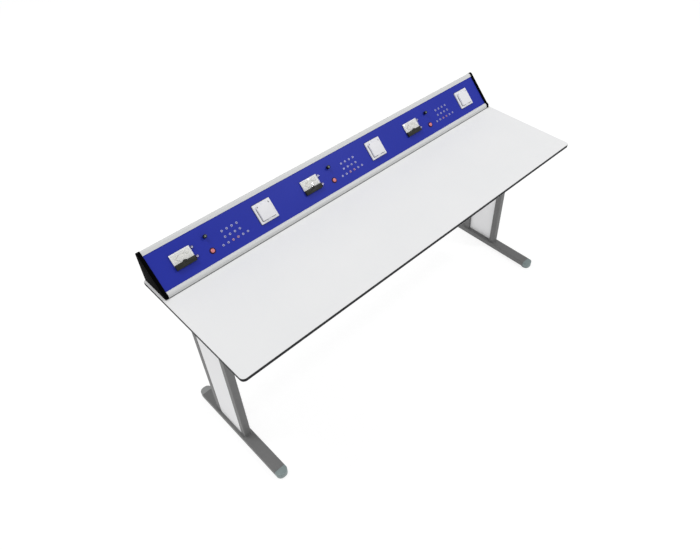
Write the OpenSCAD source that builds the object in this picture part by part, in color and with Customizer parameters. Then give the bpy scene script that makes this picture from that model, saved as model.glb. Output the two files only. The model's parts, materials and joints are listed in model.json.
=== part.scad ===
// Science laboratory table: a laminate worktop on two steel leg frames, with a sloping
// instrument console along its rear edge. Millimetres, +Z up, front towards -Y, origin on
// the floor under the middle of the table.

/* [Worktop] */
// Length of the worktop
table_w = 1800; // [1760:10:2400]
// Depth of the worktop
table_d = 590; // [560:5:750]
// Height of the worktop surface above the floor
table_h = 755; // [600:5:950]
// Thickness of the compact laminate board
top_t = 15; // [10:1:20]
// Radius of the two front corners
corner_r = 17; // [10:1:60]
// Radius of the worktop's rear corners
rear_corner_r = 7; // [3:1:30]

/* [Leg frames] */
// Distance from the end of the worktop to the centre line of a leg frame
leg_inset = 70; // [50:5:300]
// Width of the foot tube
foot_w = 50; // [44:2:70]
// Height of the foot tube
foot_h = 28; // [24:1:40]
// Length of a foot over its end caps
foot_len = 566; // [480:2:700]
// Side of the square upright tubes
upright_w = 30; // [25:1:40]
// Distance of the front upright's centre in front of the table's middle
front_upright_y = 33; // [20:1:80]
// Distance of the rear upright's centre behind the table's middle
rear_upright_y = 140; // [100:1:200]
// Thickness of the white panel between the uprights
side_panel_t = 16; // [10:1:22]
// Height of the levelling feet under the foot tube
glide_h = 5; // [4:1:10]

/* [Console] */
// Distance from the end of the worktop to the end of the console
console_inset = 9; // [5:1:30]
// Depth of the console on the worktop
console_d = 137; // [125:1:160]
// Angle of the instrument panel above the worktop
slope_angle = 45.5; // [42:0.5:48]
// Thickness of an end cap
cap_t = 14; // [10:1:20]
// Height of the lower rail's rounded nose above the worktop
nose_h = 20.5; // [18:0.5:24]
// Width of the instrument panel that shows between the rails
panel_show_w = 143.5; // [135:0.5:150]

/* [Stations] */
// Distance between neighbouring work stations as a share of the rails' length
station_pitch_share = 0.334; // [0.31:0.002:0.34]
// Shift of the middle station's socket field to the right of the table's middle
station_shift = 25; // [0:1:40]
// Width of a meter
meter_w = 80; // [70:1:84]
// Height of a meter along the slope
meter_l = 60; // [56:1:64]
// Height of a meter's face above the panel
meter_h = 11; // [9:0.5:16]
// Side of the square outlet frame
outlet_w = 80; // [74:1:90]
// Diameter of the rotary knob
knob_d = 14; // [10:1:18]
// Diameter of the red push button
button_d = 15; // [12:1:18]
// Distance between neighbouring sockets along a row
socket_pitch = 21.7; // [15:0.1:24]
// Distance between the socket rows
socket_row_pitch = 23.7; // [15:0.1:26]

/* [Hidden] */

// Faces of every round surface
round_fn = 48;
// Overrun of every cut beyond the face that it opens
cut = 1;
// Gap between pieces that slip into each other and stay
slip = 0.2;
// Gap on each side of a piece that moves along or past another
play = 0.3;
// Radial gap of a shaft in its bearing or of a screw in its hole
bore_play = 0.05;

// Worktop board
face_t = 0.8;
edge_ease = 1.5;
board_z = table_h - top_t;

// Foot tube, its end caps and levelling feet
foot_z = glide_h;
foot_top = foot_z + foot_h;
foot_wall = 2;
foot_corner_r = 4;
foot_cap_l = 30;
foot_cap_r = 22;
foot_plug_l = 20;
glide_inset = 25;
glide_r = 23;
glide_ease = 1;
stud_r = 4;
stud_l = 20;
stud_bore_top = 3;

// Uprights, top bracket and side panel
upright_wall = 1.5;
upright_corner_r = 3;
bracket_h = 27;
bracket_wall = 2;
bracket_len_share = 0.88;
bracket_in_w = upright_w + 2 * slip;
bracket_w = bracket_in_w + 2 * bracket_wall;
bracket_z = board_z - bracket_h;
side_panel_set = 1;

// Stretchers between the leg frames
stretcher_h = 40;
stretcher_w = 20;
stretcher_wall = 1.5;
stretcher_drop = 10;
end_plate_h = 76;
end_plate_w = 26;
end_plate_t = 3;
stretcher_z = bracket_z - stretcher_drop - end_plate_h / 2;

// Screws and bolts
screw_r = 2.5;
screw_head_r = 5;
screw_head_h = 2.8;
screw_in_board = 8;
bolt_r = 3;
bolt_head_r = 5.5;
bolt_head_h = 4;
bolt_reach = 3;
bolt_inset = 8;

// Console section
console_y = table_d / 2 - console_d;
top_r = 10;
nose_r = 12.5;
cap_proud = 1.2;
rail_wall = 2;
panel_t = 3;
panel_drop = 4;
groove_l = 10;
panel_lap_share = 0.77;
rail_fall = 0.6;
ridge_steps = 24;
back_t = 1.5;
back_lip_l = 14;
floor_t = 1.5;
rail_foot_l = 45;
floor_upstand = 16;
cap_wall = 3;
cap_plug_l = 8;
console_w = table_w - 2 * console_inset;
rail_l = console_w - 2 * cap_t;

// Section of the console, in its own depth and height: the slope's line starts at slope_base
slope_sin = sin(slope_angle);
slope_cos = cos(slope_angle);
slope_base = nose_h / 2;
nose_c = [nose_r, nose_h - nose_r];
nose_s = nose_c[0] * slope_cos + (nose_c[1] - slope_base) * slope_sin;
panel_low_s = nose_s + nose_r * panel_lap_share;
panel_mid_s = panel_low_s + panel_show_w / 2;
panel_top_s = panel_low_s + panel_show_w;
ridge_y = console_d - top_r;
ridge_c = [ridge_y, slope_base + (ridge_y * slope_sin - top_r) / slope_cos];
ridge_s = ridge_c[0] * slope_cos + (ridge_c[1] - slope_base) * slope_sin;

// Stations: -1 is the left one, 1 the right one
station_shares = [-1, 0, 1];
station_pitch = station_pitch_share * rail_l;

// Meter: places are measured from the middle of the socket field and of the panel
meter_x = -205;
meter_base_t = 3;
meter_window_l = 40;
meter_cover_l = meter_l - meter_window_l;
meter_wall = 1.6;
meter_roof_t = 2.4;
meter_barrel_r = 24;
meter_barrel_l = 32;
meter_bump_r = 12;
meter_bump_rise = 4;
meter_pivot_y = meter_cover_l + meter_bump_rise - meter_bump_r;
dial_t = 0.8;
spindle_r = 1;
spindle_back = 8;
hub_r = 3;
hub_t = 1.4;
needle_l = 38;
needle_w = 1.4;
needle_tip_w = 0.6;
needle_t = 0.6;
needle_tail = 6;
needle_rise = 1.4;
needle_sweep = 90;
fan_margin_angle = 8;
fan_r = 9;
zero_r = 3;
zero_flange_r = 4;
zero_flange_t = 0.8;
zero_slot_w = 0.9;
zero_slot_t = 0.8;

// Terminals beside the meter
terminal_x = -157;
terminal_gap = 37;
terminal_collar_r = 5.2;
terminal_collar_h = 4.5;
terminal_sleeve_r = 3.7;
terminal_sleeve_rim = 1;
terminal_tail = 16;

// Rotary knob and its potentiometer
knob_x = -98.5;
knob_rise = 28;
knob_h = 12;
knob_gap = 1.5;
knob_grip_r = 0.7;
knob_grips = 12;
knob_mark_w = 1.2;
knob_mark_t = 0.6;
knob_shaft_r = 3;
pot_bush_r = 4.5;
pot_bush_h = 1.2;
pot_body_r = 8.5;
pot_body_l = 12;

// Push button
button_x = -99.5;
button_fall = 29.3;
button_travel = 3;
button_rise = 5;
button_stem_r = 2;
button_stem_l = 8;
bezel_r = 11.5;
bezel_h = 2.5;
switch_body_l = 22;
button_skirt = 4;

// Four millimetre sockets
socket_columns = 4;
socket_rows = 3;
socket_fall = 8.2;
socket_collar_r = 4.8;
socket_collar_h = 2.4;
socket_body_r = 3.9;
socket_sleeve_r = 2.8;
socket_bore_r = 2;
socket_tail = 14;
red_columns = [2, 3];

// Mains outlet with its hinged lid
outlet_x = 154.3;
outlet_h = 6.7;
outlet_corner_r = 3;
outlet_ease = 1.2;
insert_w = 50;
insert_back = 30;
insert_drop = 1;
recess_r = 19.5;
recess_l = 15;
pin_hole_r = 2.6;
pin_hole_l = 12;
pin_gap = 19;
lid_w = 61;
lid_l = 60;
lid_h = 8.7;
lid_wall = 2;
lid_corner_r = 2;
hinge_r = 2.6;
hinge_pin_r = 1.2;
hinge_lug_x = 25.5;
hinge_lug_w = 3;
hinge_rise = 4.5;
hinge_end_r = lid_h - hinge_rise;
lid_lip_w = 16;
lid_lip_l = 2;
lid_lip_h = 2;

// Cable grommet in the console's rear cover
grommet_x_share = -0.4;
grommet_z = 42;
grommet_r = 12;
grommet_neck_r = 9;
grommet_bore_r = 6;
grommet_lip_t = 2;
grommet_tail = 4;

// A rectangle with round corners, about its middle
module round_rect(w, d, r) {
    square([w - 2 * r, d], center = true);
    square([w, d - 2 * r], center = true);
    for (sx = [-1, 1], sy = [-1, 1])
        translate([sx * (w / 2 - r), sy * (d / 2 - r)]) circle(r = r, $fn = round_fn);
}

// A block standing on zero with round corners and its upper edges eased
module eased_block(w, d, h, r, ease) {
    intersection() {
        linear_extrude(h) round_rect(w, d, r);
        along_y(d) eased_section(w, h, ease);
        along_x(-w / 2, w) eased_section(d, h, ease);
    }
}

module eased_section(w, h, ease) {
    polygon([[-w / 2, 0], [w / 2, 0], [w / 2, h - ease], [w / 2 - ease, h], [-w / 2 + ease, h],
        [-w / 2, h - ease]]);
}

// A tube's section
module tube_section(w, d, r, wall) {
    difference() {
        round_rect(w, d, r);
        round_rect(w - 2 * wall, d - 2 * wall, r - wall / 2);
    }
}

// Runs a section, drawn across and up, along the table's depth
module along_y(l) {
    translate([0, l / 2, 0]) rotate([90, 0, 0]) linear_extrude(l) children();
}

// Runs a section, drawn back and up, along the table's length from x
module along_x(x, l) {
    translate([x, 0, 0]) rotate([90, 0, 90]) linear_extrude(l) children();
}

// Places children at a point of the slope: across, up the slope and outwards
module on_slope(x, s, n) {
    translate([x, console_y, table_h + slope_base]) rotate([slope_angle, 0, 0])
        translate([0, s, n]) children();
}

// Places children on the panel's face, at a place measured from the middle of a station
module at_station(share, x, up) {
    on_slope(station_shift + share * station_pitch + x, panel_mid_s + up, -panel_drop) children();
}

// A flat board with two round front corners and eased edges, its top face at zero
module eased_board(t, inset, ease) {
    w = table_w - 2 * inset;
    d = table_d - 2 * inset;
    corners = [[-1, -1, corner_r], [1, -1, corner_r], [-1, 1, rear_corner_r], [1, 1, rear_corner_r]];
    edge = [[-w / 2 + ease, 0], [w / 2 - ease, 0], [w / 2, -ease], [w / 2, -t + ease],
        [w / 2 - ease, -t], [-w / 2 + ease, -t], [-w / 2, -t + ease], [-w / 2, -ease]];
    side = [[-d / 2 + ease, 0], [d / 2 - ease, 0], [d / 2, -ease], [d / 2, -t + ease],
        [d / 2 - ease, -t], [-d / 2 + ease, -t], [-d / 2, -t + ease], [-d / 2, -ease]];
    difference() {
        intersection() {
            along_y(d) polygon(edge);
            along_x(-w / 2, w) polygon(side);
        }
        for (c = corners) let (r = c[2] - inset)
            translate([c[0] * (w - r + cut) / 2, c[1] * (d - r + cut) / 2, -t / 2])
                cube([r + cut, r + cut, t + 2 * cut], center = true);
    }
    for (c = corners) let (r = c[2] - inset)
        translate([c[0] * (w / 2 - r), c[1] * (d / 2 - r), 0]) rotate_extrude($fn = round_fn)
            polygon([[0, 0], [r - ease, 0], [r, -ease], [r, -t + ease], [r - ease, -t], [0, -t]]);
}

// Places of the screws that hold the worktop down on the brackets
bracket_l = table_d * bracket_len_share;
bracket_screw_ys = [-0.4, -0.2, 0.34, 0.44] * bracket_l;
leg_x = table_w / 2 - leg_inset;
rail_screw_xs = [-0.45, -0.15, 0.15, 0.45] * rail_l;
rail_screw_y = console_y + rail_foot_l * 0.72;
floor_screw_y = console_y + console_d * 0.66;
back_screw_xs = [-0.47, -0.235, 0, 0.235, 0.47] * rail_l;
back_y = table_d / 2 - cap_proud - rail_wall - slip - back_t;

module board_screw_places() {
    for (sx = [-1, 1], y = bracket_screw_ys) translate([sx * leg_x, y, 0]) children();
}

module console_screw_places() {
    for (x = rail_screw_xs, y = [rail_screw_y, floor_screw_y]) translate([x, y, 0]) children();
}

module back_screw_places() {
    for (x = back_screw_xs) translate([x, back_y, table_h + floor_upstand / 2 + floor_t])
        rotate([90, 0, 0]) children();
}

// Black phenolic core of the worktop
module worktop_core() {
    color("#2b2b2d") difference() {
        translate([0, 0, table_h - face_t]) eased_board(top_t - 2 * face_t, 0, edge_ease - face_t);
        board_screw_places() translate([0, 0, board_z - cut])
            cylinder(r = screw_r + bore_play, h = screw_in_board + cut + bore_play, $fn = round_fn);
        console_screw_places() translate([0, 0, table_h - screw_in_board - bore_play])
            cylinder(r = screw_r + bore_play, h = screw_in_board + cut, $fn = round_fn);
    }
}

// White decor sheets bonded on top of the core and beneath it
module worktop_faces() {
    color("#ececec") difference() {
        for (z = [table_h, board_z + face_t])
            translate([0, 0, z]) eased_board(face_t, edge_ease - face_t, 0);
        board_screw_places() translate([0, 0, board_z - cut])
            cylinder(r = screw_r + bore_play, h = face_t + 2 * cut, $fn = round_fn);
        console_screw_places() translate([0, 0, table_h - face_t - cut])
            cylinder(r = screw_r + bore_play, h = face_t + 2 * cut, $fn = round_fn);
    }
}

// Steel foot tube of one leg frame
module foot(side) {
    color("#7c7c7c") translate([side * leg_x, 0, foot_z + foot_h / 2]) along_y(foot_len - 2 * foot_cap_l)
        tube_section(foot_w, foot_h, foot_corner_r, foot_wall);
}

// Moulded end cap with a plug that fills the tube's end; it looks towards -Y
module foot_cap() {
    plug_w = foot_w - 2 * foot_wall - 2 * slip;
    plug_h = foot_h - 2 * foot_wall - 2 * slip;
    difference() {
        union() {
            intersection() {
                translate([0, 0, -foot_h / 2]) linear_extrude(foot_h) intersection() {
                    translate([-foot_w / 2, -foot_cap_l]) square([foot_w, foot_cap_l]);
                    union() {
                        translate([-foot_w / 2, foot_cap_r - foot_cap_l]) square([foot_w, foot_cap_r]);
                        translate([-foot_w / 2 + foot_cap_r, -foot_cap_l])
                            square([foot_w - 2 * foot_cap_r, foot_cap_l]);
                        for (sx = [-1, 1])
                            translate([sx * (foot_w / 2 - foot_cap_r), foot_cap_r - foot_cap_l])
                            circle(r = foot_cap_r, $fn = round_fn);
                    }
                }
                along_y(2 * (foot_cap_l + foot_plug_l)) round_rect(foot_w, foot_h, foot_corner_r);
            }
            translate([0, foot_plug_l / 2, 0]) along_y(foot_plug_l)
                round_rect(plug_w, plug_h, foot_corner_r - foot_wall / 2);
        }
        translate([0, glide_inset - foot_cap_l, -foot_h / 2 - cut])
            cylinder(r = stud_r + bore_play, h = foot_h - stud_bore_top + cut, $fn = round_fn);
    }
}

module foot_caps() {
    color("#788484") for (sx = [-1, 1], sy = [-1, 1])
        translate([sx * leg_x, sy * (foot_len / 2 - foot_cap_l), foot_z + foot_h / 2])
            rotate([0, 0, sy < 0 ? 0 : 180]) foot_cap();
}

// Adjustable foot: a round pad on a threaded stud that screws up into the end cap
module leveller(side, end) {
    color("#242424") translate([side * leg_x, end * (foot_len / 2 - glide_inset), 0]) {
        rotate_extrude($fn = round_fn) polygon([[0, 0], [glide_r - glide_ease, 0], [glide_r, glide_ease],
            [glide_r, glide_h - glide_ease], [glide_r - glide_ease, glide_h], [0, glide_h]]);
        cylinder(r = stud_r, h = glide_h + stud_l, $fn = round_fn);
    }
}

// The two uprights of one leg frame, with the holes for the stretcher bolts
module uprights(side) {
    h = board_z - bracket_wall - foot_top;
    color("#6e6e6e") for (y = [-front_upright_y, rear_upright_y]) difference() {
        translate([side * leg_x, y, foot_top]) linear_extrude(h)
            tube_section(upright_w, upright_w, upright_corner_r, upright_wall);
        for (sz = [-1, 1])
            translate([side * (leg_x - upright_w / 2), y, stretcher_z + sz * (end_plate_h / 2 - bolt_inset)])
                rotate([0, 90, 0]) cylinder(r = bolt_r + bore_play, h = upright_w / 2, center = true,
                    $fn = round_fn);
    }
}

// White laminated board that fills the frame between the uprights
module side_panel(side) {
    y0 = -front_upright_y + upright_w / 2 + slip;
    y1 = rear_upright_y - upright_w / 2 - slip;
    x = leg_x + upright_w / 2 - side_panel_set - side_panel_t;
    color("#e0e0e0") translate([side > 0 ? x : -x - side_panel_t, y0, foot_top + slip])
        cube([side_panel_t, y1 - y0, board_z - bracket_wall - slip - foot_top - slip]);
}

// Steel channel, open downwards, that carries the worktop on the tops of the uprights
module top_bracket(side) {
    color("#6e6e6e") difference() {
        translate([side * leg_x, 0, bracket_z]) along_y(bracket_l) difference() {
            translate([-bracket_w / 2, 0]) square([bracket_w, bracket_h]);
            translate([-bracket_in_w / 2, -cut]) square([bracket_in_w, bracket_h - bracket_wall + cut]);
        }
        board_screw_places() translate([0, 0, board_z - bracket_wall - cut])
            cylinder(r = screw_r + bore_play, h = bracket_wall + 2 * cut, $fn = round_fn);
    }
}

// Tube with an end plate on each end, bolted between the two leg frames
module stretcher(y) {
    l = 2 * leg_x - upright_w;
    color("#6e6e6e") difference() {
        translate([0, y, stretcher_z]) {
            along_x(-l / 2 + end_plate_t, l - 2 * end_plate_t)
                tube_section(stretcher_w, stretcher_h, upright_corner_r, stretcher_wall);
            for (sx = [-1, 1]) translate([sx * (l - end_plate_t) / 2, 0, 0])
                cube([end_plate_t, end_plate_w, end_plate_h], center = true);
        }
        for (sx = [-1, 1], sz = [-1, 1])
            translate([sx * l / 2, y, stretcher_z + sz * (end_plate_h / 2 - bolt_inset)])
                rotate([0, 90, 0]) cylinder(r = bolt_r + bore_play, h = 4 * end_plate_t, center = true,
                    $fn = round_fn);
    }
}

// Pan head screw, head downwards and its seat at zero
module pan_screw(l) {
    cylinder(r = screw_r, h = l, $fn = round_fn);
    rotate([180, 0, 0]) cylinder(r = screw_head_r, h = screw_head_h, $fn = round_fn);
}

module fixing_screws() {
    color("#b4b4b4") {
        board_screw_places() translate([0, 0, board_z - bracket_wall])
            pan_screw(bracket_wall + screw_in_board);
        for (x = rail_screw_xs) {
            translate([x, rail_screw_y, table_h + rail_wall]) rotate([180, 0, 0])
                pan_screw(rail_wall + screw_in_board);
            translate([x, floor_screw_y, table_h + floor_t]) rotate([180, 0, 0])
                pan_screw(floor_t + screw_in_board);
        }
        back_screw_places() translate([0, 0, -back_t]) pan_screw(back_t + 2 * floor_t);
    }
}

module stretcher_bolts() {
    x = leg_x - upright_w / 2;
    color("#b4b4b4") for (sx = [-1, 1], y = [-front_upright_y, rear_upright_y], sz = [-1, 1])
        translate([sx * x, y, stretcher_z + sz * (end_plate_h / 2 - bolt_inset)]) rotate([0, -sx * 90, 0]) {
            translate([0, 0, -bolt_reach]) cylinder(r = bolt_r, h = bolt_reach + end_plate_t, $fn = round_fn);
            translate([0, 0, end_plate_t]) cylinder(r = bolt_head_r, h = bolt_head_h, $fn = 6);
        }
}

// The nose's outline with its skin set in by d: a round over an upright foot
module nose_outline(d, base) {
    r = nose_r - d;
    intersection() {
        translate(nose_c) circle(r = r, $fn = round_fn);
        translate([nose_c[0] - 2 * r, base]) square([4 * r, 2 * r]);
    }
    translate([nose_c[0] - r, base]) square([r, nose_c[1] - base]);
}

// The console's whole outline, drawn back and up, with its skin set in by d
module console_outline(d, base) {
    r = top_r - d;
    polygon([
        [nose_c[0], base],
        nose_c,
        [nose_s * slope_cos + d * slope_sin, slope_base + nose_s * slope_sin - d * slope_cos],
        ridge_c + r * [-slope_sin, slope_cos],
        ridge_c,
        [console_d - d, ridge_c[1]],
        [console_d - d, base]
    ]);
    translate(ridge_c) circle(r = r, $fn = round_fn);
    nose_outline(d, base);
}

// The same outline with sharp corners, for what lies inside the rails
module inner_outline(d, base) {
    rear = console_d - d;
    polygon([
        [((base - slope_base) * slope_cos + d) / slope_sin, base],
        [rear, slope_base + (rear * slope_sin - d) / slope_cos],
        [rear, base]
    ]);
}

// Draws children, made along the slope and outwards, in the console's section
module on_section() {
    translate([0, slope_base]) rotate(slope_angle) children();
}

// Channel that holds the panel's lower edge, and the room in it
module panel_groove() {
    back_n = -panel_drop - panel_t - slip;
    on_section() translate([panel_low_s - groove_l, back_n - rail_wall]) {
        square([groove_l, rail_wall]);
        translate([-rail_wall, 0]) square([rail_wall, rail_wall - back_n + top_r]);
    }
}

module groove_space() {
    on_section() translate([panel_low_s - groove_l, -panel_drop - panel_t - slip])
        square([groove_l + cut, panel_t + slip]);
}

// What the nose rail leaves open: the round inside, and all behind it and below the panel
module nose_space() {
    translate(nose_c) circle(r = nose_r - rail_wall, $fn = round_fn);
    translate([rail_wall, rail_wall]) square([console_d, nose_c[1] - rail_wall]);
    on_section() translate([nose_s, -console_d]) square([console_d, console_d - panel_drop - panel_t]);
}

// Extruded nose rail: it stands on the worktop and holds the panel's lower edge
module console_lower_rail() {
    color("#c8c8c8") difference() {
        translate([0, console_y, table_h]) along_x(-rail_l / 2, rail_l) difference() {
            union() {
                intersection() {
                    difference() {
                        nose_outline(0, 0);
                        nose_space();
                    }
                    on_section() translate([-2 * nose_r, -2 * nose_r])
                        square([2 * nose_r + panel_low_s, 4 * nose_r]);
                }
                intersection() {
                    nose_outline(0, 0);
                    panel_groove();
                }
                translate([rail_wall / 2, 0]) square([rail_foot_l - rail_wall / 2, rail_wall]);
            }
            groove_space();
        }
        for (x = rail_screw_xs) translate([x, rail_screw_y, table_h - cut])
            cylinder(r = screw_r + bore_play, h = rail_wall + 2 * cut, $fn = round_fn);
    }
}

// Points of an arc about c, from one angle to another
function arc_points(c, r, from, to) =
    [for (i = [0 : ridge_steps]) let (a = from + (to - from) * i / ridge_steps) c + r * [cos(a), sin(a)]];

// A point of the console's section, given along the slope and outwards
function slope_point(s, n) =
    [s * slope_cos - n * slope_sin, slope_base + s * slope_sin + n * slope_cos];

// Extruded ridge rail: it holds the panel's upper edge and laps over the rear cover
module console_upper_rail() {
    rear = console_d - cap_proud;
    lip_z = ridge_c[1] - back_lip_l;
    r = top_r - cap_proud;
    back_n = -panel_drop - panel_t - slip;
    end_s = panel_top_s + groove_l;
    turn = slope_angle + acos((end_s + rail_wall - ridge_s) / (r - rail_wall));
    color("#d8d8d8") translate([0, console_y, table_h]) along_x(-rail_l / 2, rail_l) polygon(concat(
        [[rear - rail_wall, lip_z], [rear, lip_z]],
        arc_points(ridge_c, r, 0, 90 + slope_angle),
        [
            slope_point(panel_top_s, -cap_proud - rail_fall),
            slope_point(panel_top_s, -panel_drop),
            slope_point(end_s, -panel_drop),
            slope_point(end_s, back_n),
            slope_point(panel_top_s, back_n),
            slope_point(panel_top_s, back_n - rail_wall),
            slope_point(end_s + rail_wall, back_n - rail_wall)
        ],
        arc_points(ridge_c, r - rail_wall, turn, 0)
    ));
}

// Blue front plate with the openings for every instrument
module console_panel() {
    l = panel_show_w + 2 * (groove_l - slip);
    color("#2f3aa8") difference() {
        on_slope(-rail_l / 2, panel_low_s - groove_l + slip, -panel_drop - panel_t)
            cube([rail_l, l, panel_t]);
        for (k = station_shares) {
            at_station(k, meter_x, 0) panel_hole(meter_barrel_r + slip);
            for (sy = [-1, 1]) at_station(k, terminal_x, sy * terminal_gap / 2)
                panel_hole(terminal_sleeve_r + slip);
            at_station(k, knob_x, knob_rise) panel_hole(pot_bush_r + slip);
            at_station(k, button_x, -button_fall) panel_hole(button_d / 2 + play + rail_wall);
            socket_places(k) panel_hole(socket_body_r + slip);
            at_station(k, outlet_x, 0) translate([0, 0, -panel_t / 2])
                cube([insert_w + 2 * slip, insert_w + 2 * slip, panel_t + 2 * cut], center = true);
        }
    }
}

module panel_hole(r) {
    translate([0, 0, -panel_t - cut]) cylinder(r = r, h = panel_t + 2 * cut, $fn = round_fn);
}

// Sheet steel rear cover: its top edge slips in front of the ridge rail's lip
module console_back() {
    color("#c4c4c4") difference() {
        translate([-rail_l / 2, back_y, table_h]) cube([rail_l, back_t, ridge_c[1] - back_lip_l / 4]);
        back_screw_places() cylinder(r = screw_r + bore_play, h = 4 * back_t, center = true, $fn = round_fn);
        grommet_place()
            cylinder(r = grommet_neck_r, h = 4 * back_t, center = true, $fn = round_fn);
    }
}

// Bent base tray: screwed to the worktop, with an upstand for the rear cover
module console_floor() {
    y0 = console_y + rail_foot_l + slip;
    color("#b8b8b8") difference() {
        union() {
            translate([-rail_l / 2, y0, table_h]) cube([rail_l, back_y - y0, floor_t]);
            translate([-rail_l / 2, back_y - floor_t, table_h]) cube([rail_l, floor_t, floor_upstand]);
        }
        for (x = rail_screw_xs) translate([x, floor_screw_y, table_h - cut])
            cylinder(r = screw_r + bore_play, h = floor_t + 2 * cut, $fn = round_fn);
        back_screw_places() cylinder(r = screw_r + bore_play, h = 4 * (back_t + floor_t), center = true,
            $fn = round_fn);
    }
}

// The cheek stands a little proud of both rails
module cheek_outline() {
    console_outline(0, 0);
    nose_outline(-cap_proud, 0);
}

// Black moulded cheek: a hollow shell with a plug that slips inside the rails
module end_cap(side) {
    x_out = console_w / 2;
    plug_d = panel_drop + panel_t + rail_wall + 2 * slip;
    plug_base = rail_wall + slip;
    x_plug = x_out - cap_t - cap_plug_l;
    color("#141414") translate([0, console_y, table_h]) difference() {
        union() {
            along_x(side > 0 ? x_out - cap_t : -x_out, cap_t) cheek_outline();
            along_x(side > 0 ? x_plug : -x_out + cap_wall, cap_plug_l + cap_t - cap_wall)
                inner_outline(plug_d, plug_base);
        }
        along_x(side > 0 ? x_plug - cut : -x_out + cap_wall, cap_plug_l + cap_t - cap_wall + cut)
            inner_outline(plug_d + cap_wall, plug_base + cap_wall);
    }
}

module grommet_place() {
    translate([grommet_x_share * rail_l, back_y + back_t, table_h + grommet_z])
        rotate([-90, 0, 0]) children();
}

// Rubber bush that protects the mains lead where it leaves the rear cover
module cable_grommet() {
    color("#2c2c2c") grommet_place() rotate_extrude($fn = round_fn) polygon([
        [grommet_bore_r, -back_t - grommet_tail],
        [grommet_neck_r + grommet_lip_t / 2, -back_t - grommet_tail],
        [grommet_r, -back_t - grommet_tail / 2], [grommet_r, -back_t], [grommet_neck_r, -back_t],
        [grommet_neck_r, 0], [grommet_r, 0], [grommet_r, grommet_lip_t / 2],
        [grommet_neck_r + grommet_lip_t / 2, grommet_lip_t], [grommet_bore_r, grommet_lip_t]
    ]);
}

// A meter's own frame: across from its middle, up from its lower edge, out from the panel
module at_meter(share) {
    at_station(share, meter_x, -meter_l / 2) children();
}

// Fan-shaped space that the needle sweeps under the cover
module needle_fan(r) {
    a = needle_sweep / 2 + fan_margin_angle;
    translate([0, meter_pivot_y]) polygon([[0, -hub_r], [-r * sin(a), r * cos(a)], [r * sin(a), r * cos(a)]]);
}

// Meter case: the plate on the panel's face and the barrel of the movement behind it
module meter_case(share) {
    color("#2a2a28") at_meter(share) difference() {
        union() {
            translate([-meter_w / 2, 0, 0]) cube([meter_w, meter_l, meter_base_t]);
            translate([0, meter_l / 2, -meter_barrel_l])
                cylinder(r = meter_barrel_r, h = meter_barrel_l + meter_base_t, $fn = round_fn);
        }
        translate([0, meter_pivot_y, -spindle_back - bore_play])
            cylinder(r = spindle_r + bore_play, h = spindle_back + meter_base_t + cut, $fn = round_fn);
    }
}

// Clear box on the dial plate, open at the back and towards the black cover
module meter_window() {
    h = meter_h - meter_base_t - dial_t;
    translate([0, 0, meter_base_t + dial_t]) difference() {
        translate([-meter_w / 2, meter_cover_l, 0]) cube([meter_w, meter_window_l, h]);
        translate([-meter_w / 2 + meter_wall, meter_cover_l - cut, -cut])
            cube([meter_w - 2 * meter_wall, meter_window_l - meter_wall + cut, h - meter_wall + cut]);
        translate([0, meter_pivot_y, -cut])
            cylinder(r = meter_bump_r + slip / 2, h = h + 2 * cut, $fn = round_fn);
    }
}

module meter_windows() {
    color([0.9, 0.93, 0.95, 0.35]) for (k = station_shares) at_meter(k) meter_window();
}

// Black front cover with its round boss over the pivot
module meter_cover() {
    h = meter_h - meter_base_t;
    translate([0, 0, meter_base_t]) difference() {
        linear_extrude(h) {
            translate([-meter_w / 2, 0]) square([meter_w, meter_cover_l - slip / 2]);
            translate([0, meter_pivot_y]) circle(r = meter_bump_r, $fn = round_fn);
        }
        translate([0, 0, -cut]) linear_extrude(h - meter_roof_t + cut) {
            translate([0, meter_pivot_y]) circle(r = fan_r, $fn = round_fn);
            needle_fan(2 * meter_bump_r);
        }
        translate([0, meter_pivot_y, 0])
            cylinder(r = zero_r + bore_play, h = h + cut, $fn = round_fn);
    }
}

module meter_covers() {
    color("#262624") for (k = station_shares) at_meter(k) meter_cover();
}

// Printed dial plate, clamped between the case and the window
module meter_dials() {
    l = meter_window_l - slip;
    color("#efeee6") for (k = station_shares) at_meter(k) translate([0, 0, meter_base_t]) difference() {
        translate([-meter_w / 2, meter_cover_l + slip, 0]) cube([meter_w, l, dial_t]);
        translate([0, meter_pivot_y, -cut])
            cylinder(r = meter_bump_r + slip, h = dial_t + 2 * cut, $fn = round_fn);
    }
}

// Needle with its hub and spindle, at rest on the left end of the scale
module meter_pointer(share) {
    z = meter_base_t + needle_rise;
    color("#1c1c1c") at_meter(share) translate([0, meter_pivot_y, 0]) {
        translate([0, 0, -spindle_back])
            cylinder(r = spindle_r, h = spindle_back + z + hub_t, $fn = round_fn);
        translate([0, 0, z]) cylinder(r = hub_r, h = hub_t, $fn = round_fn);
        rotate([0, 0, needle_sweep / 2]) translate([0, 0, z]) linear_extrude(needle_t) polygon([
            [-needle_w, -needle_tail], [needle_w, -needle_tail],
            [needle_w / 2, 0], [needle_tip_w / 2, needle_l],
            [-needle_tip_w / 2, needle_l], [-needle_w / 2, 0]
        ]);
    }
}

// Slotted screw in the cover's boss that sets the needle's zero
module zero_screw(share) {
    z = meter_h - meter_roof_t;
    color("#3a3a38") at_meter(share) translate([0, meter_pivot_y, 0]) difference() {
        union() {
            translate([0, 0, z - play]) cylinder(r = zero_r, h = meter_roof_t + 2 * play, $fn = round_fn);
            translate([0, 0, z - play - zero_flange_t])
                cylinder(r = zero_flange_r, h = zero_flange_t, $fn = round_fn);
        }
        translate([-zero_r - cut, -zero_slot_w / 2, meter_h + play - zero_slot_t])
            cube([2 * zero_r + 2 * cut, zero_slot_w, zero_slot_t + cut]);
    }
}

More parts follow.
